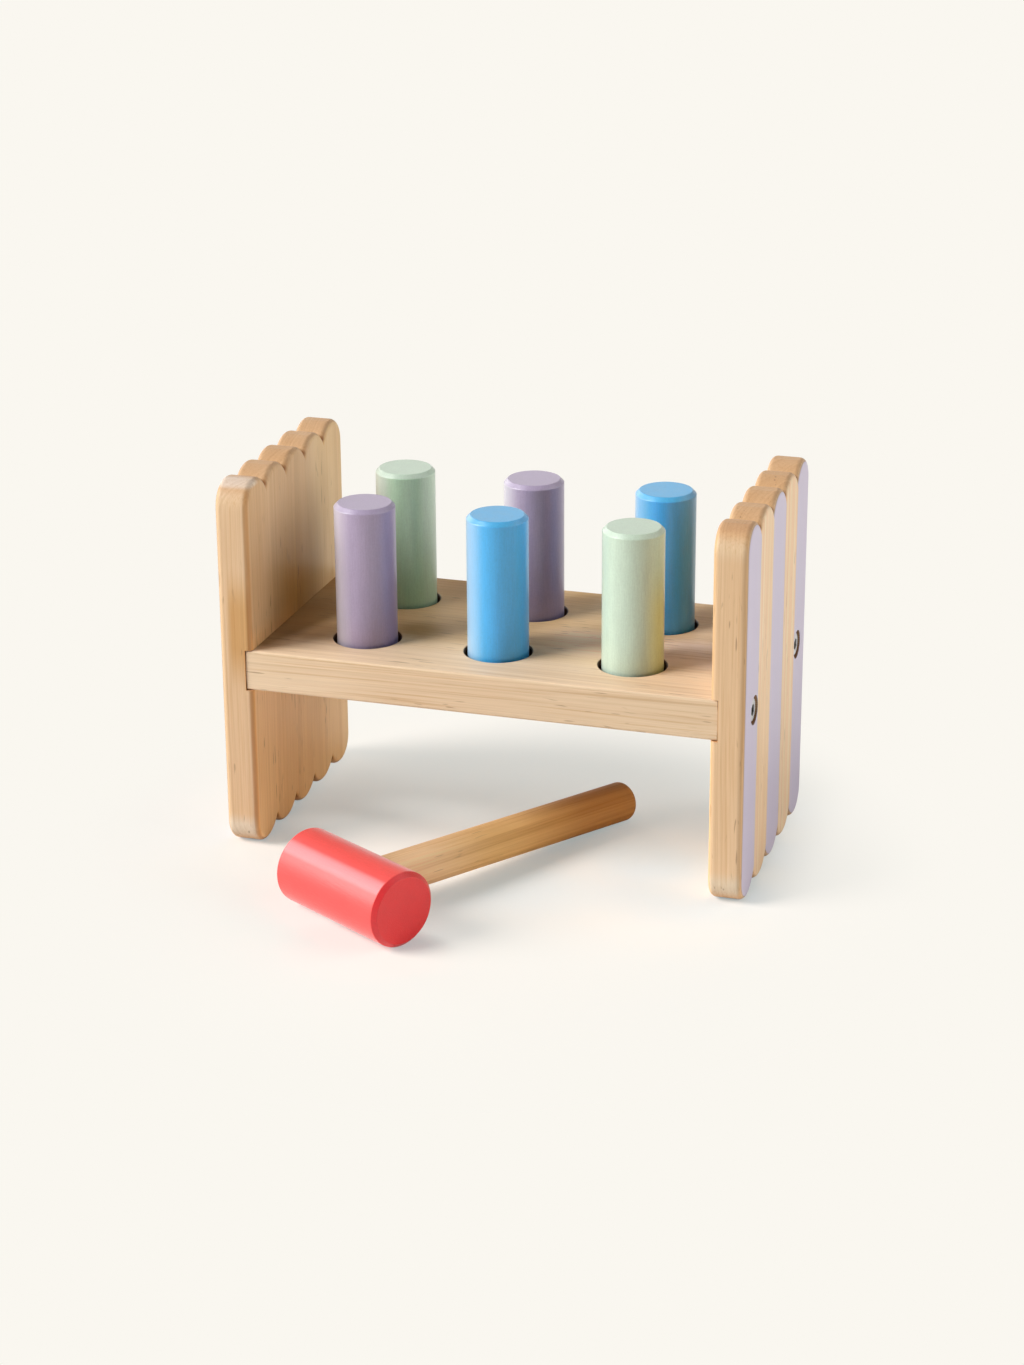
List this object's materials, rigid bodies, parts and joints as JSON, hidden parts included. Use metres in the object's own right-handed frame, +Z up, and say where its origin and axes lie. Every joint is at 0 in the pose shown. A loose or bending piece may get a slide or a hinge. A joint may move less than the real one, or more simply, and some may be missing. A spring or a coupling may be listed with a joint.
{
  "type": "peg pounding bench",
  "caption": "Wooden pounding bench: scalloped end panels carry a board of friction-held round pegs, driven down with a loose mallet.",
  "frame": {"origin": "on the floor, at the middle of the area that bench and mallet cover together", "axes": "+X along the bench from the left to the right end panel, +Y from the front to the back, +Z up along the pegs"},
  "size_m": [0.24, 0.2114, 0.172],
  "materials": {
    "bare_wood": "satin lacquer over bare wood",
    "lilac_paint": "satin paint",
    "green_paint": "satin paint",
    "blue_paint": "satin paint",
    "coral_paint": "satin paint",
    "handle_wood": "oiled darker wood",
    "grip_rubber": "matt",
    "screw_steel": "satin zinc"
  },
  "bodies": {
    "bench": {"left_end_panel": "bare_wood", "right_end_panel": "bare_wood", "peg_board": "bare_wood", "grip_ring_front_left": "grip_rubber", "grip_ring_front_middle": "grip_rubber", "grip_ring_front_right": "grip_rubber", "grip_ring_back_left": "grip_rubber", "grip_ring_back_middle": "grip_rubber", "grip_ring_back_right": "grip_rubber", "screw_left_front": "screw_steel", "screw_left_back": "screw_steel", "screw_right_front": "screw_steel", "screw_right_back": "screw_steel"},
    "front_left_peg": {"peg_front_left": "lilac_paint"},
    "front_middle_peg": {"peg_front_middle": "blue_paint"},
    "front_right_peg": {"peg_front_right": "green_paint"},
    "back_left_peg": {"peg_back_left": "green_paint"},
    "back_middle_peg": {"peg_back_middle": "lilac_paint"},
    "back_right_peg": {"peg_back_right": "blue_paint"},
    "mallet": {"mallet_head": "coral_paint", "mallet_handle": "handle_wood"}
  },
  "joints": [
    {"name": "front_left_peg_slide", "type": "slide", "parent": "bench", "child": "front_left_peg", "axis": [0, 0, 1], "range_m": [-0.0637, 0]},
    {"name": "front_middle_peg_slide", "type": "slide", "parent": "bench", "child": "front_middle_peg", "axis": [0, 0, 1], "range_m": [-0.0545, 0]},
    {"name": "front_right_peg_slide", "type": "slide", "parent": "bench", "child": "front_right_peg", "axis": [0, 0, 1], "range_m": [-0.0637, 0]},
    {"name": "back_left_peg_slide", "type": "slide", "parent": "bench", "child": "back_left_peg", "axis": [0, 0, 1], "range_m": [-0.0637, 0]},
    {"name": "back_middle_peg_slide", "type": "slide", "parent": "bench", "child": "back_middle_peg", "axis": [0, 0, 1], "range_m": [-0.0637, 0]},
    {"name": "back_right_peg_slide", "type": "slide", "parent": "bench", "child": "back_right_peg", "axis": [0, 0, 1], "range_m": [-0.0637, 0]},
    {"name": "mallet_slide", "type": "slide", "parent": "bench", "child": "mallet", "axis": [-0.5, -0.866, 0], "range_m": [0, 0.12]}
  ]
}
